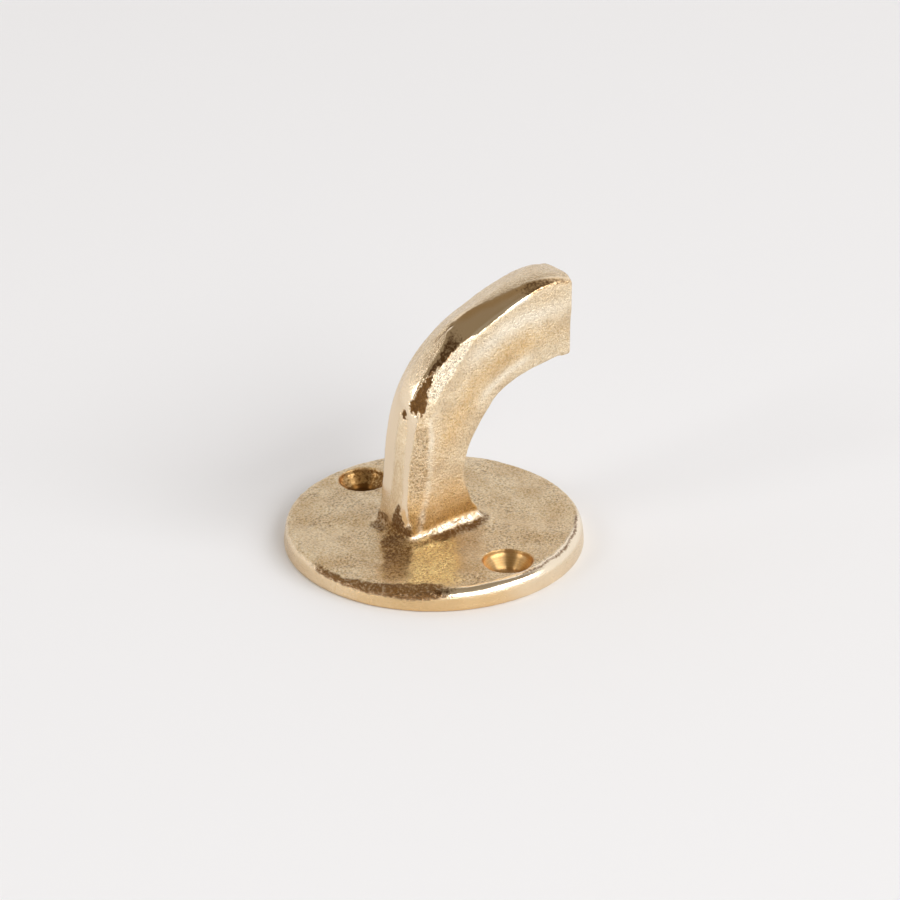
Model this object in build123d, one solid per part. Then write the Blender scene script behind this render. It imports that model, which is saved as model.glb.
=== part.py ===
from build123d import *
import os
from collections import namedtuple
from math import cos, radians, sin, tan

# Towel hook: one brass casting, a round wall plate with an elbow arm standing on it.
# Millimetres. The plate's back lies on Z = 0 and its axis is Z. The arm bends over towards +X
# and the two screw holes lie on the Y axis. The part is symmetric about the XZ plane.

# Wall plate
plate_diameter = 50.0
plate_thickness = 3.75         # at the inner edge of the rolled shoulder
plate_dome = 0.3               # rise of the face from the shoulder to the axis
wall_height = 2.3              # crisp side wall below the shoulder
wall_draft = 0.2               # the wall leans in by this much over its height
shoulder_width = 1.4           # rolled edge between the wall and the face
back_edge_break = 0.3          # small bevel round the back

# Screw holes, for countersunk screws
hole_pitch = 37.5
hole_diameter = 4.4
countersink_diameter = 8.2
countersink_land = 0.8         # straight ring above the cone
countersink_angle = 90.0       # full angle of the cone

# Arm
elbow_x = 18.4                 # centre of the inside curve, from the plate's axis
elbow_z = 12.1                 # centre of the inside curve, from the wall
elbow_radius = 15.1            # inside curve
arm_reach = 26.9               # from the plate's axis to the end of the arm
root_width = 9.2               # across the side faces at the wall
tip_width = 8.2                # across the side faces at the arm's highest point
crest_rise = 0.15              # the back is slightly crowned between its two facets
inner_round = 0.8              # rounding of the two edges along the inside curve
end_round = 1.0                # rounding round the end of the arm
root_embed = 1.25              # how far the arm's first section is sunk into the plate
root_fillet = 1.6              # sweep of metal between the arm and the plate

# Sections of the arm, from inside the plate to the arm's end. The back is a crest with a
# ground facet and then an edge facet on each side, and each of them changes along the arm.
#   turn    degrees turned about the elbow's centre: 0 across the stem, 90 across the arm
#   along   share of the straight part reached: -1 at the root, 0 at the elbow, 1 at the end
#   inset   gap from the inside curve to the inside face, negative where the stem flares
#   depth   inside curve to crest
#   flat    half width of the crest, as a share of the arm's half width
#   brow    half width at the ground facet's outer edge, as the same kind of share
#   drop    fall from the crest to the ground facet's outer edge
#   edge    fall from the crest to the side face
Section = namedtuple("Section", "turn along inset depth flat brow drop edge")
sections = [
    Section(turn=0, along=-1.0, inset=-3.5, depth=12.2, flat=0.66, brow=0.92, drop=0.15, edge=0.40),
    Section(turn=0, along=-0.5, inset=-1.7, depth=12.1, flat=0.58, brow=0.84, drop=0.20, edge=1.00),
    Section(turn=0, along=0.0, inset=0.0, depth=11.9, flat=0.49, brow=0.74, drop=0.20, edge=2.90),
    Section(turn=20, along=0.0, inset=-0.3, depth=12.5, flat=0.41, brow=0.75, drop=0.25, edge=2.90),
    Section(turn=36, along=0.0, inset=-0.4, depth=14.3, flat=0.37, brow=0.81, drop=0.90, edge=2.60),
    Section(turn=50, along=0.0, inset=-0.4, depth=14.4, flat=0.33, brow=0.80, drop=0.70, edge=3.00),
    Section(turn=64, along=0.0, inset=-0.2, depth=14.8, flat=0.17, brow=0.88, drop=1.50, edge=2.00),
    Section(turn=78, along=0.0, inset=-0.1, depth=14.4, flat=0.17, brow=0.88, drop=1.00, edge=1.45),
    Section(turn=90, along=0.0, inset=0.0, depth=15.1, flat=0.31, brow=0.88, drop=0.80, edge=1.25),
    Section(turn=90, along=0.6, inset=0.2, depth=15.3, flat=0.52, brow=0.84, drop=0.60, edge=1.25),
    Section(turn=90, along=1.0, inset=0.2, depth=15.0, flat=0.58, brow=0.77, drop=0.40, edge=1.25),
]

# Derived
plate_radius = plate_diameter / 2
wall_top_radius = plate_radius - wall_draft
face_radius = wall_top_radius - shoulder_width
crown_z = plate_thickness + plate_dome
hole_radius = hole_diameter / 2
countersink_radius = countersink_diameter / 2
land_z = plate_thickness - countersink_land
cone_z = land_z - (countersink_radius - hole_radius) / tan(radians(countersink_angle / 2))
stem_run = elbow_z - plate_thickness + root_embed
arm_run = arm_reach - elbow_x
arm_top_z = elbow_z + elbow_radius + sections[-1].depth


def half_width(height):
    """Half the arm's width at a height above the wall. It tapers evenly."""
    taper = (tip_width - root_width) * height / arm_top_z
    return (root_width + taper) / 2


def section_face(section):
    """One closed section of the arm, drawn from its inside face at x = 0 out to the crest."""
    angle = radians(section.turn)
    outward = Vector(-cos(angle), 0, sin(angle))
    forward = Vector(sin(angle), 0, cos(angle))
    run = stem_run if section.along < 0 else arm_run
    centre = Vector(elbow_x, 0, elbow_z) + forward * run * section.along
    inside = centre + outward * (elbow_radius + section.inset)
    crest = section.depth - section.inset
    side = half_width((inside + outward * crest / 2).Z)
    flat = side * section.flat
    brow = side * section.brow
    with BuildSketch(Plane(origin=inside, x_dir=outward, z_dir=forward)) as sketch:
        with BuildLine():
            Line((0, side - inner_round), (0, inner_round - side))
            TangentArc((0, inner_round - side), (inner_round, -side), tangent=(0, -1))
            Line((inner_round, -side), (crest - section.edge, -side))
            Line((crest - section.edge, -side), (crest - section.drop, -brow))
            Line((crest - section.drop, -brow), (crest, -flat))
            ThreePointArc((crest, -flat), (crest + crest_rise, 0), (crest, flat))
            Line((crest, flat), (crest - section.drop, brow))
            Line((crest - section.drop, brow), (crest - section.edge, side))
            Line((crest - section.edge, side), (inner_round, side))
            TangentArc((inner_round, side), (0, side - inner_round), tangent=(-1, 0))
        make_face()
    return sketch.sketch.face()


def rounded(body, edges, radius):
    """Fillet the edges, with a smaller radius where a changed size leaves less room."""
    smaller = 0.75
    for _ in range(6):
        try:
            return body.fillet(radius, edges)
        except ValueError:
            radius = radius * smaller
    return body


def wall_plate():
    """The round plate, turned about Z: back bevel, side wall, rolled shoulder, domed face."""
    with BuildPart() as plate:
        with BuildSketch(Plane.XZ):
            with BuildLine():
                Line((0, 0), (plate_radius - back_edge_break, 0))
                Line((plate_radius - back_edge_break, 0), (plate_radius, back_edge_break))
                Line((plate_radius, back_edge_break), (wall_top_radius, wall_height))
                EllipticalCenterArc(
                    (face_radius, wall_height),
                    shoulder_width,
                    plate_thickness - wall_height,
                    start_angle=0,
                    arc_size=90,
                )
                TangentArc((face_radius, plate_thickness), (0, crown_z), tangent=(-1, 0))
                Line((0, crown_z), (0, 0))
            make_face()
        revolve(axis=Axis.Z)
    return plate.part


def elbow_arm():
    """The arm, one skin over all its sections, with its end rounded over."""
    arm = loft([section_face(section) for section in sections])
    end_face = arm.faces().sort_by(Axis.X)[-1]
    return rounded(arm, end_face.edges(), end_round)


def screw_hole():
    """What one countersunk screw clears: through hole, cone and straight land."""
    with BuildPart() as tool:
        with BuildSketch(Plane.XZ):
            with BuildLine():
                Polyline(
                    (0, -plate_thickness),
                    (hole_radius, -plate_thickness),
                    (hole_radius, cone_z),
                    (countersink_radius, land_z),
                    (countersink_radius, crown_z + countersink_land),
                    (0, crown_z + countersink_land),
                    close=True,
                )
            make_face()
        revolve(axis=Axis.Z)
    return tool.part


def meets_plate(edge):
    """Whether an edge is part of the line where the arm leaves the plate's face."""
    box = edge.bounding_box()
    slack = plate_dome
    on_face = box.min.Z > plate_thickness - slack and box.max.Z < crown_z + slack
    return on_face and box.diagonal < face_radius


casting = (wall_plate() + elbow_arm()).solid()
casting = rounded(casting, casting.edges().filter_by(meets_plate), root_fillet)
for hole in GridLocations(0, hole_pitch, 1, 2):
    casting = casting - hole * screw_hole()

hook = casting.solid()
hook.label = "hook_casting"
os.makedirs("parts", exist_ok=True)
export_step(hook, "parts/hook_casting.step")
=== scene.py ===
import math
from types import SimpleNamespace

import bpy
import numpy as np
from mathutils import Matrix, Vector, noise


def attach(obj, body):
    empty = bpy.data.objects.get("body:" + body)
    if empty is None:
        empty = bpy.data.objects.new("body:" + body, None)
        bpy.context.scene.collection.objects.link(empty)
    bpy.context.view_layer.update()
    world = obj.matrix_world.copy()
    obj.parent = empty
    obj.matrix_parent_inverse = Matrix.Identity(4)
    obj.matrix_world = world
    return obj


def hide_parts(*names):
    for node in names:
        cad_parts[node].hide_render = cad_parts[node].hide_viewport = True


bl_info = {
    "name": "Cast brass towel hook",
    "version": (1, 0, 0),
    "blender": (4, 5, 0),
    "location": "View3D > Sidebar > Towel hook",
    "description": "Gives the packed towel hook its sand-cast skin, its ground edges and its studio",
    "category": "Object",
}

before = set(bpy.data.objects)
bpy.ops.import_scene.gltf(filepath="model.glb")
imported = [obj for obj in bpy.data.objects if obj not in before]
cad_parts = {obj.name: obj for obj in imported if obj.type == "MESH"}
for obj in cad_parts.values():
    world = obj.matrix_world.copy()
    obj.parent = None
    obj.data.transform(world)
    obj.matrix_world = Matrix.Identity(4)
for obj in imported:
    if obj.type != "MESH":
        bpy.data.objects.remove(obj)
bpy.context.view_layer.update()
CASTING = "hook_casting"
MM = 0.001

# Where things lie on the casting, in millimetres.
ELBOW_X = 18.4
ELBOW_Z = 12.1
HOLE_PITCH = 37.5
SEAT_RADIUS = 4.1
PLATE_RADIUS = 25.0
PLATE_FACE = 3.75
PLATE_TOP = 4.6                # the plate's face lies below this height
ARM_FOOT = (4.9, 6.0)          # heights over which the plate's finish gives way to the arm's
FOOT_X = -1.5
FOOT_HALF_LENGTH = 7.4
FOOT_HALF_WIDTH = 4.6

# The plate's face as the camera sees it: across the picture to the right, and away into it.
ACROSS = (0.766, -0.643)
AWAY = (0.643, 0.766)
FAR_SEAT_ACROSS = -12.0        # the middle of the far screw seat
ROLLED_MIDDLE = -146.0         # degrees round the plate to the middle of its rolled edge

# Curves along the arm, as pairs of a station and a distance in millimetres. The stations are those
# of along_arm. The distances are from the elbow's axis, or sideways from the arm's middle.
STRIP_INNER = ((30, 27.2), (35, 26.9), (41, 26.5), (48, 26.4), (55, 26.7), (61, 27.8))
STRIP_OUTER = ((30, 27.6), (35, 27.9), (45, 28.7), (52, 28.8), (61, 28.2))
WEAR_SHEEN_LINE = ((-8, 26.8), (-4, 25.8), (0, 24.1), (10, 24.2), (23, 25.3), (30, 26.6))
SMEAR_FAR = ((42, -2.0), (47, -2.2), (51, -1.8), (55, -1.5), (60, -0.6), (64, -0.2))
SMEAR_NEAR = ((42, -3.0), (47, -3.3), (52, -3.4), (57, -3.5), (64, -3.8))
PATCH_FAR = ((27, -2.4), (31, -1.5), (36, -1.9), (42, -2.0), (46, -2.6))
PATCH_NEAR = ((27, -3.4), (31, -4.1), (36, -3.7), (42, -3.2), (46, -2.9))
BAND_FAR = ((35, -1.8), (44, -1.9), (51, -1.8), (55, -1.5), (60, -0.3), (63, 0.0), (70, -0.4),
            (75, -0.9), (82, -1.4), (90, -2.0), (95, -3.2), (97, -3.6), (99, -4.0))

# What the material reads at each point of the skin.
MASKS = ("polish", "cut", "stain_and_shade", "coarse", "gilt_and_reflected_gold", "wear_and_sheen", "gold_and_reflection")

# How strongly each area of the casting shows in each of them. A point takes its strongest.
SHARES = {
    "polish": {"ground back": 1, "rim": 0.95, "underside": 1, "wear sheen line": 0.3, "ridge_highlight": 1,
               "bead_highlights": 0.9, "gold_and_reflection": 0.4, "torn strip": 0.6},
    # Stain: burnt skin in the patch, score, smear and facets, and painted shade and painted dark
    # reflection in the other areas listed.
    "stain_and_shade": {"patch": 1, "low back shade": 0.74, "reflected_shade": 0.7, "shadow_ring": 0.8, "score": 0.7, "smear": 0.72,
              "dark_tip_reflection": 0.57, "rolled edge shade": 0.76, "dark reflection line": 0.7, "edge facet": 0.32,
              "corner_shade": 0.66, "far brow": 0.3, "low side reflection": 0.52},
    "coarse": {"torn strip": 0.7, "patch": 0.6, "edge facet": 0.8, "low back shade": 0.5, "shadow_ring": 0.6,
               "reflected_shade": 0.6, "flecked face": 1, "low side reflection": 1, "rolled edge shade": 0.4, "side": 0.35,
               "crest": 0.3, "gold_and_reflection": 0.9},
    # Gilt: yellower metal, and a painted gold reflection in the low side, run and glow areas.
    "gilt_and_reflected_gold": {"seat": 0.8, "yellow wall": 1, "gold_and_reflection": 0.8, "low side reflection": 1, "reflected_shade": 0.7, "rim": 0.1,
             "dark_tip_reflection": 0.4, "bend": 0.34, "edge facet": 0.22, "upper band": 0.5},
    # Worn: worn metal on the torn strip and the worn line, and painted highlights in the other areas
    # listed.
    "wear_and_sheen": {"wear sheen line": 0.8, "ridge_highlight": 1, "torn strip": 0.6, "bead_highlights": 0.85, "pale_highlights": 1,
             "rim_highlight": 0.95, "right rim highlight": 0.5},
}

# Sizes of the material's patterns, in millimetres.
MOTTLE = 5.0
LUMP = 0.45
GROOVE = 0.3
SCRATCH = 0.25                 # three times the real width, so that it shows
PRINT_DEPTH = 0.24
LUMP_RELIEF = 0.5
SCRATCH_DEPTH = 0.004

# The room's light, in linear colour: pale walls all round and a dark warm ceiling.
ROOM_WALLS = (0.95, 0.95, 0.97, 1.0)
ROOM_CEILING = (0.28, 0.23, 0.165, 1.0)

# The point that the camera and both lights look at.
AIM = Vector((6.36, 3.40, 13.23)) * MM


class HookSizes(bpy.types.PropertyGroup):
    skin_pitch: bpy.props.FloatProperty(
        name="Skin pitch", description="Spacing of the points of the cast skin",
        default=0.28 * MM, unit="LENGTH", precision=5)
    swell_width: bpy.props.FloatProperty(
        name="Swell width", description="Width of the slow waves that sand casting leaves",
        default=8.0 * MM, unit="LENGTH", precision=4)
    swell_depth: bpy.props.FloatProperty(
        name="Swell depth", description="Height of those waves on the sandy faces",
        default=0.7 * MM, unit="LENGTH", precision=5)
    grain: bpy.props.FloatProperty(
        name="Sand grain", description="Size of the sand's print in the metal",
        default=0.30 * MM, unit="LENGTH", precision=5)
    lump_depth: bpy.props.FloatProperty(
        name="Lump depth", description="Height of the small lumps where the skin is coarse",
        default=0.16 * MM, unit="LENGTH", precision=5)
    skirt_width: bpy.props.FloatProperty(
        name="Skirt width", description="How far the arm's foot spreads onto the plate",
        default=3.4 * MM, unit="LENGTH", precision=4)
    skirt_height: bpy.props.FloatProperty(
        name="Skirt height", description="How high that spread stands at the arm",
        default=0.9 * MM, unit="LENGTH", precision=5)
    rolled_width: bpy.props.FloatProperty(
        name="Rolled edge", description="Width of the plate's rolled edge shade where it is widest",
        default=4.4 * MM, unit="LENGTH", precision=4)
    rolled_depth: bpy.props.FloatProperty(
        name="Rolled depth", description="How far the plate's face falls there",
        default=0.95 * MM, unit="LENGTH", precision=5)


class HookFinish(bpy.types.PropertyGroup):
    sandy: bpy.props.StringProperty(
        name="As cast", description="Colour of the sandy skin, sRGB hex", default="F1DFC2")
    hollow: bpy.props.StringProperty(
        name="Grain bottoms", description="Colour in the hollows of the sandy skin, sRGB hex",
        default="D6BA8C")
    ground: bpy.props.StringProperty(
        name="Ground", description="Colour of the ground and polished metal, sRGB hex",
        default="EFDABC")
    # The gilt colour is yellower metal in the seats and on the wall, and also a painted gold
    # reflection low on the arm's side, round the foot and before it.
    gilt_and_reflected_gold: bpy.props.StringProperty(
        name="Gilt",
        description="Colour of the yellower metal in the seats and round the foot, sRGB hex",
        default="E4B977")
    # Painted reflection: the bright yellow on the plate before the foot stands for the arm's lit side
    # mirrored in the plate, over the metal's own yellow.
    gold_and_reflection: bpy.props.StringProperty(
        name="Glow",
        description="Colour of the bright yellow metal on the plate before the foot, sRGB hex",
        default="FFE6A6")
    # The worn colour is worn metal, and also painted highlights on the ridge, the beads, the pale
    # streaks, and the plate's front and right rim.
    wear_and_sheen: bpy.props.StringProperty(
        name="Worn", description="Colour of the bright worn ridges, sRGB hex", default="FFF4DF")
    # The stain colour is burnt skin in pits and flaws, and also painted shade and painted dark
    # reflection round the foot, on the rolled edge, at the band's tip and in the far seat.
    stain_and_shade: bpy.props.StringProperty(
        name="Stain", description="Colour of the burnt skin in pits and corners, sRGB hex",
        default="724C20")


class HookStage(bpy.types.PropertyGroup):
    floor: bpy.props.StringProperty(
        name="Floor", description="Colour of the studio floor, sRGB hex", default="EDEEF1")
    camera_distance: bpy.props.FloatProperty(
        name="Camera distance", description="From the camera to the point it looks at",
        default=0.6, unit="LENGTH")
    camera_height: bpy.props.FloatProperty(
        name="Camera elevation", description="How steeply the camera looks down",
        default=math.radians(26.85), subtype="ANGLE", unit="ROTATION")
    camera_turn: bpy.props.FloatProperty(
        name="Camera azimuth", description="Side of the hook that the camera stands on",
        default=math.radians(-40.0), subtype="ANGLE", unit="ROTATION")
    lens: bpy.props.FloatProperty(
        name="Lens", description="Focal length on a 36 mm frame, in millimetres", default=144.0)
    key_power: bpy.props.FloatProperty(
        name="Key light", description="Power of the large softbox at the right",
        default=96.0, unit="POWER")
    fill_power: bpy.props.FloatProperty(
        name="Fill light", description="Power of the small softbox at the left",
        default=18.0, unit="POWER")


def linear(hex_colour):
    """An sRGB hex colour as the linear numbers that a shader takes."""
    channels = [int(hex_colour[i:i + 2], 16) / 255 for i in (0, 2, 4)]
    return tuple(c / 12.92 if c <= 0.04045 else ((c + 0.055) / 1.055) ** 2.4
                 for c in channels) + (1.0,)


def add_node(tree, kind, settings=None, values=None, links=None):
    """Adds one node, with its settings, the values of its sockets and the links into them."""
    node = tree.nodes.new(kind)
    for name, value in (settings or {}).items():
        setattr(node, name, value)
    for socket, value in (values or {}).items():
        node.inputs[socket].default_value = value
    for socket, source in (links or {}).items():
        tree.links.new(source, node.inputs[socket])
    return node


def smooth(low, high, value):
    """0 below low, 1 above high, and an eased step between."""
    t = np.clip((value - low) / (high - low), 0, 1)
    return t * t * (3 - 2 * t)


def between(low, high, ease, value):
    """1 from low to high, eased to 0 on both sides."""
    return smooth(low - ease, low + ease, value) * (1 - smooth(high - ease, high + ease, value))


def hump(middle, width, value):
    """1 at the middle, and near 0 at twice the width to either side of it."""
    return np.exp(-((value - middle) / width) ** 2)


def follow(curve, station):
    """A curve's distance at each station."""
    stations, distances = zip(*curve)
    return np.interp(station, stations, distances)


def only(obj):
    """Makes one object the whole selection."""
    bpy.ops.object.select_all(action="DESELECT")
    obj.select_set(True)
    bpy.context.view_layer.objects.active = obj


def places(mesh):
    """The places of a mesh's points, in millimetres."""
    flat = np.empty(len(mesh.vertices) * 3)
    mesh.vertices.foreach_get("co", flat)
    return flat.reshape(-1, 3) / MM


def normals(mesh):
    """The directions that a mesh's points face."""
    flat = np.empty(len(mesh.vertices) * 3)
    mesh.vertex_normals.foreach_get("vector", flat)
    return flat.reshape(-1, 3)


def move_to(mesh, points):
    """Puts a mesh's points at these places, given in millimetres."""
    mesh.vertices.foreach_set("co", (points * MM).ravel())
    mesh.update()


def along_arm(points):
    """For each point: the way out from the elbow, the distance from the elbow's axis that way, and
    the station, which is millimetres below the elbow, then degrees round it, then 90 plus
    millimetres past it."""
    x, z = points[:, 0], points[:, 2]
    turn = np.degrees(np.arctan2(np.maximum(z - ELBOW_Z, 0), np.maximum(ELBOW_X - x, 0)))
    in_stem = z < ELBOW_Z
    in_end = (x > ELBOW_X) & ~in_stem
    turn = np.where(in_stem, 0, np.where(in_end, 90, turn))
    out = np.stack([-np.cos(np.radians(turn)), np.zeros(len(x)), np.sin(np.radians(turn))], 1)
    station = turn + np.where(in_stem, z - ELBOW_Z, 0) + np.where(in_end, x - ELBOW_X, 0)
    reach = (x - ELBOW_X) * out[:, 0] + (z - ELBOW_Z) * out[:, 2]
    return out, reach, station


def cloud(points, size, where=None):
    """Smooth noise from -1 to 1 at the points, with lumps of the given size in millimetres."""
    value = np.zeros(len(points))
    for i in range(len(points)) if where is None else np.nonzero(where)[0]:
        value[i] = noise.noise(Vector(points[i] / size))
    return value


def keep_attribute(mesh, name, values):
    """Keeps a value from 0 to 1 at each point, for the material to read."""
    attribute = mesh.attributes.new(name, "FLOAT", "POINT")
    attribute.data.foreach_set("value", np.clip(values, 0, 1).astype(np.float32))


def foot_distance(points):
    """How far each point stands off the outline of the arm's foot, seen from above."""
    ahead = np.maximum(np.abs(points[:, 0] - FOOT_X) - FOOT_HALF_LENGTH, 0)
    aside = np.maximum(np.abs(points[:, 1]) - FOOT_HALF_WIDTH, 0)
    return np.hypot(ahead, aside)


def raise_skirt(points, facing, width, height):
    """The foot spreads onto the plate as an uneven skirt, with a bead where the skirt starts."""
    z = points[:, 2]
    off = foot_distance(points)
    near = (z > 2.0) & (z < 8.0) & (off < 2 * width)
    spread = width * (1 + 0.35 * cloud(points, 4.0, near))
    lift = height * np.clip(1 - off / spread, 0, 1) ** 1.5 * (1 - smooth(5.0, 7.5, z))
    moved = points.copy()
    moved[:, 2] += np.where(near, lift, 0)
    bead = np.clip(cloud(points, 0.6, near) + 0.15, 0, 1) * between(-8.8, 6.4, 0.4, points[:, 0])
    bead *= 0.6 * hump(0.35, 0.4, off) * (points[:, 1] < -4.4) * between(3.9, 5.6, 0.3, z)
    moved += np.where(near, bead, 0)[:, None] * facing
    return moved


def roll_edge(points, width, depth):
    """The plate's face falls to its edge, most at the side away from the arm's end."""
    x, y, z = points.T
    radius = np.hypot(x, y)
    angle = np.degrees(np.arctan2(y, x))
    side = np.abs((angle - ROLLED_MIDDLE + 180) % 360 - 180)
    share = 0.2 + 0.8 * hump(0, 38, side)
    rim = (radius > PLATE_RADIUS - 1.5 * width) & (z < PLATE_TOP)
    share = share * (1 + 0.35 * cloud(points, 5.0, rim))
    t = np.clip((radius - PLATE_RADIUS + width * share) / (width * share), 0, 1)
    moved = points.copy()
    moved[:, 2] -= depth * share * t ** 2 * np.clip(z / PLATE_FACE, 0, 1)
    return moved


def flaws(points):
    """Where the near side of the elbow is torn, chewed, scored and smeared, from 0 to 1 each."""
    _, reach, station = along_arm(points)
    y = points[:, 1]
    near = (y < 1.5) & (station > 15) & (station < 75) & (reach > 24)
    wander = cloud(points, 1.6, near) + 0.6 * cloud(points, 0.6, near)
    inner = follow(STRIP_INNER, station)
    outer = follow(STRIP_OUTER, station)
    strip = between(36, 62, 2.0, station) * between(inner, outer, 0.25, reach + 0.3 * wander)
    strip *= y < -2.6

    fray = 0.9 * wander + 0.7 * cloud(points, 0.35, near)
    patch = between(30, 44, 1.0, station + 2.2 * fray) * smooth(27.2, 27.6, reach)
    patch *= between(follow(PATCH_NEAR, station), follow(PATCH_FAR, station), 0.12, y + 0.45 * fray)
    spot = np.hypot((station - 28.4) * 0.42, y + 0.75) + 0.45 * fray
    patch = np.maximum(patch, 1 - smooth(0.5, 0.7, spot))

    smear = smooth(39, 43, station) * (1 - smooth(54, 65, station))
    smear *= between(follow(SMEAR_NEAR, station), follow(SMEAR_FAR, station), 0.12, y + 0.4 * fray)

    from_line = np.abs(y + 0.3 - (60 - station) * 0.09 + 0.15 * wander)
    score = between(53, 61, 0.8, station) * (1 - smooth(0.05, 0.26, from_line))
    return strip * near, patch * near, score * near, smear * near


def dent_and_tear(points, facing):
    """Cuts the flaws into the skin: chunks out of the torn strip, pits in the patch and the smear,
    the score, and nicks along the far side of the crest. Nothing goes below the wall's plane."""
    strip, patch, score, smear = flaws(points)
    _, reach, station = along_arm(points)
    touched = strip + patch + smear > 0.02
    chunks = 0.5 * cloud(points, 0.9, touched) + 0.5 * cloud(points, 0.5, touched)
    crest = (station > 20) & (reach > 27.5)
    nicks = np.clip(cloud(points, 1.5, crest) - 0.25, 0, 1) * smooth(0.3, 0.6, facing[:, 1]) * crest
    lift = 0.24 * strip * (chunks - 0.1) + patch * (0.34 * chunks - 0.16) + 0.12 * smear * chunks
    lift -= 0.16 * score + 0.35 * nicks
    moved = points + lift[:, None] * facing
    moved[:, 2] = np.maximum(moved[:, 2], 0)
    return moved


def survey(points, facing):
    """Where each point lies and how it faces, in the terms that the finishes use. Two slow noises
    make the finishes' edges ragged."""
    at = SimpleNamespace(points=points)
    at.x, at.y, at.z = points.T
    out, at.reach, at.station = along_arm(points)
    at.back = (facing * out).sum(1)
    at.up = facing[:, 2]
    at.far = facing[:, 1]
    at.radius = np.hypot(at.x, at.y)
    at.angle = np.degrees(np.arctan2(at.y, at.x))
    at.turn = (at.angle - ROLLED_MIDDLE + 180) % 360 - 180
    at.across = ACROSS[0] * at.x + ACROSS[1] * at.y
    at.away = AWAY[0] * at.x + AWAY[1] * at.y
    at.off = foot_distance(points)
    at.on_arm = smooth(*ARM_FOOT, at.z)
    at.on_plate = 1 - at.on_arm
    at.ragged = cloud(points, 1.0)
    at.broad = cloud(points, 3.0)
    at.past_band = at.y - follow(BAND_FAR, at.station)
    return at


def back_areas(at, flawed):
    """The arm's back. It is ground on a belt down to a ragged line above the foot, but only lightly
    along its crest, down the middle of the stem and low on the stem's far half. Its near edge has a
    sandy facet on the stem, and over the band on the arm a ridge with a painted highlight. The band's
    tip is darkened with a painted dark reflection."""
    down_to = 6.6 + 1.4 * at.broad + 0.8 * at.ragged - 1.6 * smooth(0, 1.5, at.y)
    ground = smooth(0.52, 0.66, at.back + 0.05 * at.ragged) * at.on_arm * flawed
    ground *= smooth(down_to - 0.5, down_to + 0.5, at.z)
    crest = smooth(0.6, 0.8, at.back) * smooth(28, 50, at.station)
    crest *= smooth(0.1, 0.5, at.past_band + 0.15 * at.ragged)
    stem_middle = between(-2.2, 0.3, 0.4, at.y + 0.3 * at.broad) * (1 - smooth(22, 32, at.station))
    stem_middle *= smooth(0.9, 0.97, at.back)
    low_far_half = (1 - smooth(7.5, 12.5, at.z)) * smooth(-1.5, 0.5, at.y)
    ground *= (1 - 0.45 * crest) * (1 - 0.7 * stem_middle) * (1 - 0.6 * low_far_half)

    # Painted dark reflection: the band's tip is darkened, as the band's polished facet mirrors the
    # dark ceiling.
    dark_tip_reflection = smooth(80, 90, at.station) * smooth(0.2, 0.4, at.back)
    dark_tip_reflection *= 1 - smooth(-0.25, 0.15, at.past_band + 0.2 * at.ragged)
    band = smooth(60, 66, at.station) * smooth(0.35, 0.5, at.back)
    band *= 1 - smooth(-0.2, 0.2, at.past_band)
    far_brow = between(0.8, 3.9, 0.5, at.y + 0.5 * at.ragged) * smooth(34, 42, at.station)
    facet = between(0.15, 0.5, 0.06, at.back) * between(-30, 27, 2, at.station) * (at.y < 0)
    # Painted highlight: the ridge over the band takes the worn colour.
    ridge_highlight = between(28.0, 29.3, 0.3, at.reach) * between(-4.35, -3.6, 0.15, at.y)
    ridge_highlight *= smooth(58, 64, at.station) * (1 - 0.85 * smooth(82, 90, at.station))
    return {
        "ground back": ground,
        "crest": crest,
        "dark_tip_reflection": dark_tip_reflection,
        "upper band": band * smooth(-1.8, -0.6, at.past_band + 0.3 * at.broad),
        "far brow": far_brow * smooth(0.5, 0.7, at.back),
        "edge facet": facet * at.on_arm,
        "ridge_highlight": ridge_highlight,
    }


def side_areas(at):
    """The arm's flat sides: yellower and darker low down, a painted reflection of the plate, and
    yellower inside the bend, with a worn line up the stem that also carries a painted highlight, and
    painted highlights in pale streaks round the bend and over the upper side."""
    side = smooth(0.7, 0.9, np.abs(at.far)) * at.on_arm
    # Painted reflection of the plate: low on the sides the metal is yellower and darker.
    low = smooth(0.5, 0.8, -at.far) * (1 - smooth(6.5, 15, at.z + 1.5 * at.broad)) * at.on_arm
    bend = side * hump(20.5, 2.4, at.reach - 0.8 * at.broad) * between(18, 94, 10, at.station)
    # Worn line: worn metal up the stem, with a painted highlight in the worn colour.
    inner = follow(WEAR_SHEEN_LINE, at.station)
    wear_and_sheen = side * between(inner - 1.5, inner - 0.3, 0.7, at.reach + 0.3 * at.broad)
    wear_and_sheen *= between(-20, 34, 5, at.station) * np.clip(0.9 + 0.7 * at.ragged, 0, 1)
    # Painted highlights: pale streaks round the bend, and a paler upper side away from the low part
    # and the bend.
    streaks = hump(25.0, 1.6, at.reach - 0.6 * at.broad) * between(56, 96, 8, at.station)
    streaks += hump(17.6, 0.8, at.reach - 0.3 * at.broad) * between(48, 86, 8, at.station)
    return {
        "side": side,
        "low side reflection": low,
        "bend": bend,
        "wear sheen line": wear_and_sheen,
        "pale_highlights": (0.65 * streaks + 0.22 * (1 - low) * (1 - bend)) * side,
    }


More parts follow.
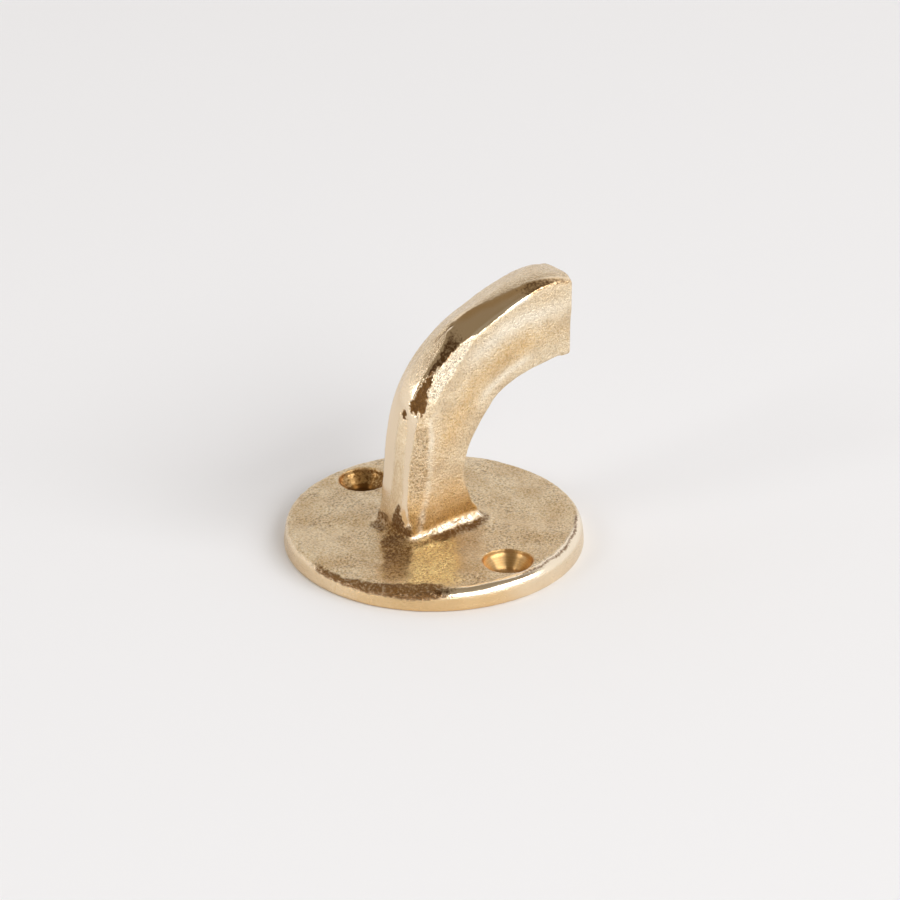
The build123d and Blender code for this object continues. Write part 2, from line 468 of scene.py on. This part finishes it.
def foot_areas(at):
    """Round the arm's foot: painted shade and dark reflection low on the stem's back, in its far
    corner and on over the plate towards the camera's side, a painted shadow ring on the near side and
    under the beads, the chain of beads with a painted highlight on them, and the yellow metal in
    front of it with a painted reflection of the arm's lit side."""
    # Painted shade and dark reflection in the concave corner between the stem's back and the plate.
    tongue = 4.4 * hump(-1.3, 1.0, at.y + 0.6 * at.ragged)
    top = 5.4 + 1.4 * (1 - smooth(-2.8, -1.0, at.y)) + tongue + 1.4 * at.broad + 0.9 * at.ragged
    low_back_shade = smooth(0.4, 0.7, at.back) * (1 - smooth(top - 0.25, top + 0.25, at.z))
    low_back_shade *= (at.y < 1.0 + at.broad) * smooth(4.3, 5.0, at.z)
    # Painted dark reflection of the foot's shaded corner, on the plate before the stem's back.
    reflected_shade = between(-8.6, -3.7, 0.8, at.across + 0.9 * at.broad + 0.5 * at.ragged)
    reflected_shade *= between(-21, -4.5, 1.6, at.away + 1.5 * at.broad) * (1 - smooth(5.8, 6.8, at.z))
    reflected_shade *= (0.82 + 0.18 * smooth(-19, -12, at.away)) * (at.x < -7)
    # Painted shade in the stem's far corner at the foot.
    corner_shade = between(0.9, 4.8, 0.5, at.y + 0.6 * at.ragged) * (at.x < -6.5) * (at.off < 1.5)
    corner_shade *= 1 - smooth(7.0, 8.6, at.z + 1.4 * at.broad)
    # Painted shadow: a dark ring round the near side of the foot and under the beads.
    shadow_ring = between(0.9, 2.3, 0.5, at.off + 0.8 * at.broad)
    shadow_below_bead_chain = smooth(0.4, 0.8, at.off) * (1 - smooth(1.2, 4.2, at.off + 0.8 * at.broad))
    shadow_below_bead_chain *= between(-6, 6.5, 1, at.x)
    # Painted highlight: the beads take the worn colour.
    bead_highlights = hump(0.4, 0.4, at.off) * between(4.0, 5.4, 0.3, at.z) * between(-8.8, 6.4, 0.4, at.x)
    bead_highlights *= at.y < -4.4
    bead_highlights *= np.clip(0.75 + 1.2 * cloud(at.points, 0.6, bead_highlights > 0.05), 0, 1)
    # Painted reflection of the arm's lit side on the plate before the foot, in bright yellow.
    gold_and_reflection = between(-4.4, 3.8, 1.5, at.across + 1.1 * at.broad)
    gold_and_reflection *= between(-22.4, -6.6, 1.8, at.away + 1.2 * at.broad) * smooth(0.6, 1.4, at.off)
    return {
        "low back shade": low_back_shade,
        "reflected_shade": reflected_shade,
        "corner_shade": corner_shade,
        "shadow_ring": np.maximum(0.8 * shadow_ring, shadow_below_bead_chain) * at.on_plate * (at.y < 0),
        "bead_highlights": bead_highlights,
        "gold_and_reflection": gold_and_reflection * at.on_plate,
    }


def plate_areas(at):
    """The plate: a sandy face with flecks, a ground rim, a wall that is yellower at the front, and a
    rolled edge with burnt skin and a painted dark reflection, with a painted highlight where it ends
    and a painted dark reflection line beyond, and a painted highlight along the right rim."""
    inside = PLATE_RADIUS - 0.6 - 1.4 * between(-130, -40, 20, at.angle)
    rim = smooth(inside - 0.3, inside + 0.3, at.radius + 0.2 * at.ragged) * at.on_plate
    rim *= 1 - 0.4 * (1 - smooth(0.2, 0.5, at.up))
    wall = (1 - smooth(0.2, 0.6, at.up)) * smooth(24, 24.5, at.radius) * (at.z < PLATE_TOP)
    # Painted dark reflection on the rolled edge, where its slope mirrors the dark ceiling, over burnt
    # skin.
    start = 24.0 - 0.3 * smooth(-30, -12, at.turn) - 2.0 * hump(8, 15, at.turn)
    rolled_shade = smooth(start - 0.35, start + 0.25, at.radius + 0.4 * at.ragged)
    rolled_shade *= smooth(0.05, 0.45, at.up) * between(-38, 24, 8, at.turn) * at.on_plate
    # Painted dark reflection: a thin dark line inside the right rim.
    dark_reflection_line = hump(23.7, 0.4, at.radius + 0.3 * at.broad) * between(-96, -32, 8, at.angle) * (at.z > 2)
    # Painted highlight where the rolled edge ends.
    rim_highlight = between(-126, -92, 6, at.angle) * between(23.4, 24.7, 0.3, at.radius)
    face = between(3.0, 5.0, 0.3, at.z) * at.on_plate * (1 - rim)
    flecks = 0.5 + 0.5 * smooth(-0.1, 0.35, cloud(at.points, 5.0))
    flecks += 0.25 * smooth(14, 22, -at.away) * smooth(-4, 4, -at.across)
    drift = hump(0.5, 1.8, at.away + 1.5 * at.broad) * (1 - smooth(-9, -6, at.across)) * face
    return {
        "rim": rim,
        # Painted highlight along the right rim.
        "right rim highlight": rim * between(-98, -15, 8, at.angle),
        "underside": smooth(0.8, 0.95, -at.up) * (at.z < 0.2),
        "yellow wall": (0.2 + 0.4 * between(-15, 50, 20, at.turn)) * wall,
        "rolled edge shade": rolled_shade,
        "dark reflection line": dark_reflection_line,
        "rim_highlight": rim_highlight * smooth(0.15, 0.4, at.up),
        "flecked face": (flecks + 0.35 * drift) * face,
    }


def seat_areas(at):
    """The two screw seats. The far one lies in the dark, and painted shade darkens all of its hole,
    and most of all the side of its cone next to the stem."""
    from_axis = np.hypot(at.x, np.abs(at.y) - HOLE_PITCH / 2)
    seat = 1 - smooth(SEAT_RADIUS + 0.05, SEAT_RADIUS + 0.2, from_axis)
    far_seat = seat * (at.y > 0)
    next_to_stem = smooth(0.2, 1.6, at.across - FAR_SEAT_ACROSS + 0.3 * at.ragged)
    return {
        "seat": seat,
        # Painted shade in the far seat.
        "hole shade": far_seat * (1 - smooth(1.45, 1.75, at.z)),
        "seat shade": far_seat * (0.58 + 0.14 * next_to_stem),
    }


def finish_masks(points, facing):
    """How far each point is polished; cut by a tool; stained, or darkened by painted shade and dark
    reflection; coarse; gilt, or tinted by a painted gold reflection; worn, or brightened by painted
    highlights; and yellow with the painted reflection before the foot. They run from 0 to 1, and
    coarse goes a little over 1 in the plate's flecks."""
    at = survey(points, facing)
    strip, patch, score, smear = flaws(points)
    areas = {
        "torn strip": strip, "patch": patch, "score": score, "smear": smear,
        **back_areas(at, (1 - strip) * (1 - patch)), **side_areas(at), **foot_areas(at),
        **plate_areas(at), **seat_areas(at),
    }
    masks = {
        mask: np.maximum.reduce([share * areas[area] for area, share in shares.items()])
        for mask, shares in SHARES.items()
    }
    masks["cut"] = areas["seat"]
    masks["gold_and_reflection"] = areas["gold_and_reflection"]
    masks["stain_and_shade"] *= 1 - areas["bead_highlights"]
    masks["gilt_and_reflected_gold"] *= 1 - areas["rim_highlight"]
    masks["coarse"] *= (1 - areas["rim_highlight"]) * (1 - 0.8 * np.maximum(areas["ridge_highlight"], areas["bead_highlights"]))
    for mask in ("polish", "stain_and_shade", "coarse", "wear_and_sheen", "gold_and_reflection"):
        masks[mask] *= 1 - areas["seat"]
    masks["stain_and_shade"] = np.maximum.reduce([masks["stain_and_shade"], areas["hole shade"], areas["seat shade"]])
    return masks


def wave_and_lump(points, facing, masks, swell_width, swell_depth, lump_depth):
    """Sand casting leaves slow waves, which working the metal takes down and which die out at the
    plate's edge, and small lumps where the skin is coarse."""
    z = points[:, 2]
    rough = (1 - masks["polish"]) * (1 - masks["cut"]) * (z > 1)
    slow = cloud(points, swell_width) + 0.4 * cloud(points, 0.4 * swell_width)
    lift = swell_depth * 0.5 * slow * (0.25 + 0.75 * rough) * smooth(0.5, 2.0, z)
    to_edge = smooth(22.0, 24.3, np.hypot(points[:, 0], points[:, 1]))
    lift *= 1 + (z < PLATE_TOP) * (0.6 - 1.3 * to_edge)
    lumps = cloud(points, 0.9) + 0.5 * cloud(points, 0.5)
    lift += lump_depth * 0.5 * lumps * masks["coarse"]
    lift *= 1 - masks["cut"]
    return points + lift[:, None] * facing


def turned_seats(tree, place, cut):
    """The tarnish in the grooves that the cutter left round each seat, and the way out from the
    seat's axis, because the grooves draw the highlight out across themselves."""
    side = add_node(tree, "ShaderNodeSeparateXYZ", None, None, {"Vector": place})
    mirrored = add_node(tree, "ShaderNodeVectorMath", {"operation": "ABSOLUTE"}, None, {0: place})
    mirrored = add_node(tree, "ShaderNodeSeparateXYZ", None, None,
                        {"Vector": mirrored.outputs["Vector"]})
    beyond = add_node(tree, "ShaderNodeMath", {"operation": "SUBTRACT"},
                      {1: HOLE_PITCH / 2 * MM}, {0: mirrored.outputs["Y"]})
    hand = add_node(tree, "ShaderNodeMath", {"operation": "SIGN"}, None, {0: side.outputs["Y"]})
    beyond = add_node(tree, "ShaderNodeMath", {"operation": "MULTIPLY"}, None,
                      {0: beyond.outputs["Value"], 1: hand.outputs["Value"]})
    outward = add_node(tree, "ShaderNodeCombineXYZ", None, None,
                       {"X": side.outputs["X"], "Y": beyond.outputs["Value"]}).outputs["Vector"]
    from_axis = add_node(tree, "ShaderNodeVectorMath", {"operation": "LENGTH"}, None, {0: outward})
    grooves = add_node(tree, "ShaderNodeTexNoise", {"noise_dimensions": "1D"},
                       {"Scale": 1 / (GROOVE * MM), "Detail": 2.0, "Roughness": 0.6},
                       {"W": from_axis.outputs["Value"]})
    tarnish = add_node(tree, "ShaderNodeMapRange", None,
                       {"From Min": 0.38, "From Max": 0.62, "To Min": 0.22, "To Max": 0.42},
                       {"Value": grooves.outputs["Fac"]})
    tarnish = add_node(tree, "ShaderNodeMath", {"operation": "MULTIPLY"}, None,
                       {0: tarnish.outputs["Result"], 1: cut})
    return tarnish.outputs["Value"], outward


def dark_skin_and_shade(tree, mask, lumps, tarnish):
    """How dark the metal is: specks in the low points of its coarse skin, fewer where the gold
    reflection is painted, burnt skin and painted shade that end in crumbs as large as the lumps, and
    the tarnish in the seats."""
    specks = add_node(tree, "ShaderNodeMapRange", None,
                      {"From Min": 0.52, "From Max": 0.35, "To Max": 0.72}, {"Value": lumps})
    specks = add_node(tree, "ShaderNodeMath", {"operation": "MULTIPLY"}, None,
                      {0: specks.outputs["Result"], 1: mask.coarse})
    fewer = add_node(tree, "ShaderNodeMath", {"operation": "MULTIPLY_ADD"},
                     {1: -0.6, 2: 1.0}, {0: mask.gold_and_reflection})
    specks = add_node(tree, "ShaderNodeMath", {"operation": "MULTIPLY"}, None,
                      {0: specks.outputs["Value"], 1: fewer.outputs["Value"]})
    crumbs = add_node(tree, "ShaderNodeMath", {"operation": "MULTIPLY_ADD"}, {1: 1.2},
                      {0: lumps, 2: mask.stain_and_shade})
    burnt_and_shade = add_node(tree, "ShaderNodeMapRange", None,
                     {"From Min": 0.96, "From Max": 1.36, "To Max": 0.94},
                     {"Value": crumbs.outputs["Value"]})
    dark = add_node(tree, "ShaderNodeMath", {"operation": "MAXIMUM"}, None,
                    {0: specks.outputs["Value"], 1: burnt_and_shade.outputs["Result"]})
    dark = add_node(tree, "ShaderNodeMath", {"operation": "MAXIMUM"}, None,
                    {0: dark.outputs["Value"], 1: tarnish})
    return dark.outputs["Value"]


def cast_brass(finish, grain_size):
    """Sand-cast yellow brass, shot clean and left raw, with its back and its plate's edge ground on a
    belt and buffed. The sand prints a fine even grain that scatters light, darker in its hollows and
    drawn a little too coarse so that it shows; ground metal is smooth and paler, with faint
    scratches; the screw seats show the cutter's grooves; pits keep a brown burnt skin. The same brown
    is painted as shade and dark reflection in inside corners, round the foot and on the rolled edge;
    a pale colour paints highlights on the ridge, the beads and the rim; a yellow one paints the
    plate's reflection low on the arm and the arm's reflection on the plate, with painted glints."""
    material = bpy.data.materials.new("sand_cast_brass")
    material.use_nodes = True
    tree = material.node_tree
    tree.nodes.clear()
    place = add_node(tree, "ShaderNodeTexCoord").outputs["Object"]
    mask = SimpleNamespace(**{
        name: add_node(tree, "ShaderNodeAttribute", {"attribute_name": name}).outputs["Fac"]
        for name in MASKS})

    grain = add_node(tree, "ShaderNodeTexNoise", None,
                     {"Scale": 1 / grain_size, "Detail": 3.0, "Roughness": 0.6},
                     {"Vector": place}).outputs["Fac"]
    mottle = add_node(tree, "ShaderNodeTexNoise", None,
                      {"Scale": 1 / (MOTTLE * MM), "Detail": 3.0, "Roughness": 0.55},
                      {"Vector": place}).outputs["Fac"]
    lumps = add_node(tree, "ShaderNodeTexNoise", None,
                     {"Scale": 1 / (LUMP * MM), "Detail": 4.0, "Roughness": 0.65},
                     {"Vector": place}).outputs["Fac"]
    # Buffing runs along the arm, so its hair-fine scratches are stretched that way.
    stretched = add_node(tree, "ShaderNodeMapping", None, {"Scale": (0.12, 1.0, 0.12)},
                         {"Vector": place})
    scratches = add_node(tree, "ShaderNodeTexNoise", None,
                         {"Scale": 1 / (SCRATCH * MM), "Detail": 2.0, "Roughness": 0.5},
                         {"Vector": stretched.outputs["Vector"]}).outputs["Fac"]

    hollows = add_node(tree, "ShaderNodeMapRange", None, {"From Min": 0.38, "From Max": 0.58},
                       {"Value": grain})
    skin = add_node(tree, "ShaderNodeMix", {"data_type": "RGBA"},
                    {"A": linear(finish.hollow), "B": linear(finish.sandy)},
                    {"Factor": hollows.outputs["Result"]})
    patches = add_node(tree, "ShaderNodeMapRange", None, {"From Min": 0.36, "From Max": 0.6},
                       {"Value": mottle})
    tint = add_node(tree, "ShaderNodeMix", {"data_type": "RGBA"},
                    {"A": (0.88, 0.81, 0.70, 1.0), "B": (1.04, 1.04, 1.02, 1.0)},
                    {"Factor": patches.outputs["Result"]})
    colour = add_node(tree, "ShaderNodeVectorMath", {"operation": "MULTIPLY"}, None,
                      {0: skin.outputs["Result"], 1: tint.outputs["Result"]}).outputs["Vector"]
    # Painted glints: the bright yellow on the tops of the lumps where the arm's reflection is painted
    # on the plate.
    painted_glints = add_node(tree, "ShaderNodeMapRange", None, {"From Min": 0.40, "From Max": 0.52},
                      {"Value": lumps})
    painted_glints = add_node(tree, "ShaderNodeMath", {"operation": "MULTIPLY"}, None,
                      {0: painted_glints.outputs["Result"], 1: mask.gold_and_reflection})
    tarnish, outward = turned_seats(tree, place, mask.cut)
    # Over the skin go the ground colour, the gilt colour with its painted gold reflection, the worn
    # colour with its painted highlights, the painted glints, and the stain colour with its painted
    # shade and dark reflection.
    layers = (
        (finish.ground, mask.polish), (finish.gilt_and_reflected_gold, mask.gilt_and_reflected_gold), (finish.wear_and_sheen, mask.wear_and_sheen),
        (finish.gold_and_reflection, painted_glints.outputs["Value"]),
        (finish.stain_and_shade, dark_skin_and_shade(tree, mask, lumps, tarnish)))
    for laid_on, share in layers:
        colour = add_node(tree, "ShaderNodeMix", {"data_type": "RGBA"}, {"B": linear(laid_on)},
                          {"Factor": share, "A": colour}).outputs["Result"]

    rough_skin = add_node(tree, "ShaderNodeMapRange", None,
                          {"From Min": 0.3, "From Max": 0.7, "To Min": 0.42, "To Max": 0.32},
                          {"Value": grain})
    rough_ground = add_node(tree, "ShaderNodeMapRange", None,
                            {"From Min": 0.3, "From Max": 0.7, "To Min": 0.12, "To Max": 0.20},
                            {"Value": scratches})
    roughness = add_node(tree, "ShaderNodeMix", {"data_type": "FLOAT"}, None,
                         {"Factor": mask.polish, "A": rough_skin.outputs["Result"],
                          "B": rough_ground.outputs["Result"]})

    sandy = add_node(tree, "ShaderNodeMath", {"operation": "SUBTRACT"}, {0: 1.0}, {1: mask.polish})
    sandy = add_node(tree, "ShaderNodeMath", {"operation": "SUBTRACT", "use_clamp": True}, None,
                     {0: sandy.outputs["Value"], 1: mask.cut})
    normal = None
    for pattern, share, depth in (
            (grain, sandy.outputs["Value"], PRINT_DEPTH), (lumps, mask.coarse, LUMP_RELIEF)):
        # Heights are taken from their middle, so that no step shows where a finish ends.
        height = add_node(tree, "ShaderNodeMath", {"operation": "SUBTRACT"}, {1: 0.5}, {0: pattern})
        height = add_node(tree, "ShaderNodeMath", {"operation": "MULTIPLY"}, None,
                          {0: height.outputs["Value"], 1: share})
        links = {"Height": height.outputs["Value"]}
        if normal:
            links["Normal"] = normal
        normal = add_node(tree, "ShaderNodeBump", None, {"Strength": 1.0, "Distance": depth * MM},
                          links).outputs["Normal"]
    normal = add_node(tree, "ShaderNodeBump", None,
                      {"Strength": 0.3, "Distance": SCRATCH_DEPTH * MM},
                      {"Height": scratches, "Normal": normal}).outputs["Normal"]
    drawn_out = add_node(tree, "ShaderNodeMath", {"operation": "MULTIPLY"}, {1: 0.75}, {0: mask.cut})
    metal = add_node(tree, "ShaderNodeBsdfPrincipled", None, {"Metallic": 1.0},
                     {"Base Color": colour, "Roughness": roughness.outputs["Result"],
                      "Normal": normal, "Anisotropic": drawn_out.outputs["Value"],
                      "Tangent": outward})
    add_node(tree, "ShaderNodeOutputMaterial", None, None, {"Surface": metal.outputs["BSDF"]})
    return material


class TOWELHOOK_OT_casting(bpy.types.Operator):
    """Covers the casting's solid with its cast skin and gives it its finish"""
    bl_idname = "towelhook.casting"
    bl_label = "Cast skin"

    def execute(self, context):
        sizes = context.scene.hook_sizes
        finish = context.scene.hook_finish
        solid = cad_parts[CASTING]
        piece = bpy.data.objects.new("cast_hook", solid.data.copy())
        context.scene.collection.objects.link(piece)
        mesh = piece.data
        only(piece)
        bpy.ops.object.mode_set(mode="EDIT")
        bpy.ops.mesh.select_all(action="SELECT")
        bpy.ops.mesh.remove_doubles(threshold=0.002 * MM)
        bpy.ops.object.mode_set(mode="OBJECT")
        skin = piece.modifiers.new("skin", "REMESH")
        skin.mode = "VOXEL"
        skin.voxel_size = sizes.skin_pitch
        bpy.ops.object.modifier_apply(modifier="skin")
        wear_and_sheen = piece.modifiers.new("wear_and_sheen", "SMOOTH")
        wear_and_sheen.factor = 0.5
        wear_and_sheen.iterations = 4
        bpy.ops.object.modifier_apply(modifier="wear_and_sheen")

        move_to(mesh, raise_skirt(places(mesh), normals(mesh),
                                  sizes.skirt_width / MM, sizes.skirt_height / MM))
        move_to(mesh, roll_edge(places(mesh), sizes.rolled_width / MM, sizes.rolled_depth / MM))
        points, facing = places(mesh), normals(mesh)
        masks = finish_masks(points, facing)
        for name in MASKS:
            keep_attribute(mesh, name, masks[name])
        move_to(mesh, wave_and_lump(points, facing, masks, sizes.swell_width / MM,
                                    sizes.swell_depth / MM, sizes.lump_depth / MM))
        move_to(mesh, dent_and_tear(places(mesh), normals(mesh)))
        bpy.ops.object.shade_smooth()
        mesh.materials.clear()
        mesh.materials.append(cast_brass(finish, sizes.grain))
        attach(piece, "root")
        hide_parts(CASTING)
        return {"FINISHED"}


def heading(turn, rise):
    """The direction at a turn to the right of -Y and a rise above the floor, in radians."""
    return Vector((math.sin(turn) * math.cos(rise), -math.cos(turn) * math.cos(rise), math.sin(rise)))


class TOWELHOOK_OT_stage(bpy.types.Operator):
    """Sets the hook on a pale studio floor, with softboxes on both sides and the camera"""
    bl_idname = "towelhook.stage"
    bl_label = "Studio"

    def execute(self, context):
        stage = context.scene.hook_stage
        bpy.ops.object.select_all(action="DESELECT")
        bpy.ops.mesh.primitive_plane_add(size=8.0, location=(0, 0, 0))
        floor = context.active_object
        floor.name = "studio_floor"
        paper = bpy.data.materials.new("matt_backdrop_paper")
        paper.use_nodes = True
        sheet = paper.node_tree.nodes["Principled BSDF"]
        sheet.inputs["Base Color"].default_value = linear(stage.floor)
        sheet.inputs["Roughness"].default_value = 0.85
        sheet.inputs["Specular IOR Level"].default_value = 0.2
        floor.data.materials.append(paper)

        # The dark ceiling comes down further behind the camera than over the hook.
        world = bpy.data.worlds.new("studio_room")
        context.scene.world = world
        world.use_nodes = True
        tree = world.node_tree
        tree.nodes.clear()
        way = add_node(tree, "ShaderNodeTexCoord").outputs["Generated"]
        overhead = heading(stage.camera_turn, math.radians(65))
        height = add_node(tree, "ShaderNodeVectorMath", {"operation": "DOT_PRODUCT"},
                          {1: overhead}, {0: way})
        ceiling = add_node(tree, "ShaderNodeMapRange", {"interpolation_type": "SMOOTHSTEP"},
                           {"From Min": 0.50, "From Max": 0.62}, {"Value": height.outputs["Value"]})
        room = add_node(tree, "ShaderNodeMix", {"data_type": "RGBA"},
                        {"A": ROOM_WALLS, "B": ROOM_CEILING},
                        {"Factor": ceiling.outputs["Result"]})
        sky = add_node(tree, "ShaderNodeBackground", None, {"Strength": 1.0},
                       {"Color": room.outputs["Result"]})
        add_node(tree, "ShaderNodeOutputWorld", None, None, {"Surface": sky.outputs["Background"]})

        # Degrees to the right of the camera and above the floor, metres away, and metres in size.
        softboxes = (
            ("softbox_right", (50, 33, 3.2), (3.7, 1.5), stage.key_power),
            ("softbox_left", (-60, 28, 3.2), (1.2, 0.9), stage.fill_power))
        for name, (azimuth, elevation, distance), (width, depth), power in softboxes:
            lamp = bpy.data.lights.new(name, "AREA")
            lamp.shape = "RECTANGLE"
            lamp.size = width
            lamp.size_y = depth
            lamp.energy = power
            holder = bpy.data.objects.new(name, lamp)
            context.scene.collection.objects.link(holder)
            way = heading(stage.camera_turn + math.radians(azimuth), math.radians(elevation))
            holder.location = AIM + way * distance
            holder.rotation_euler = (-way).to_track_quat("-Z", "Y").to_euler()

        away = heading(stage.camera_turn, stage.camera_height)
        view = bpy.data.cameras.new("photo_camera")
        view.lens = stage.lens
        view.sensor_width = 36.0
        camera = bpy.data.objects.new("photo_camera", view)
        context.scene.collection.objects.link(camera)
        camera.location = AIM + away * stage.camera_distance
        camera.rotation_euler = (-away).to_track_quat("-Z", "Y").to_euler()
        context.scene.camera = camera
        context.scene.view_settings.view_transform = "Standard"
        return {"FINISHED"}


class TOWELHOOK_PT_panel(bpy.types.Panel):
    """Lists the hook's operators and its sizes and colours"""
    bl_label = "Towel hook"
    bl_idname = "TOWELHOOK_PT_panel"
    bl_space_type = "VIEW_3D"
    bl_region_type = "UI"
    bl_category = "Towel hook"

    def draw(self, context):
        column = self.layout.column()
        for group in (context.scene.hook_sizes, context.scene.hook_finish, context.scene.hook_stage):
            for name in group.__annotations__:
                column.prop(group, name)
        column.operator(TOWELHOOK_OT_casting.bl_idname)
        column.operator(TOWELHOOK_OT_stage.bl_idname)


CLASSES = (
    HookSizes, HookFinish, HookStage, TOWELHOOK_OT_casting, TOWELHOOK_OT_stage, TOWELHOOK_PT_panel)


def register():
    for cls in CLASSES:
        bpy.utils.register_class(cls)
    bpy.types.Scene.hook_sizes = bpy.props.PointerProperty(type=HookSizes)
    bpy.types.Scene.hook_finish = bpy.props.PointerProperty(type=HookFinish)
    bpy.types.Scene.hook_stage = bpy.props.PointerProperty(type=HookStage)


def unregister():
    del bpy.types.Scene.hook_sizes
    del bpy.types.Scene.hook_finish
    del bpy.types.Scene.hook_stage
    for cls in reversed(CLASSES):
        bpy.utils.unregister_class(cls)


def main():
    register()
    bpy.ops.towelhook.stage()
    bpy.ops.towelhook.casting()


if __name__ == "__main__":
    main()
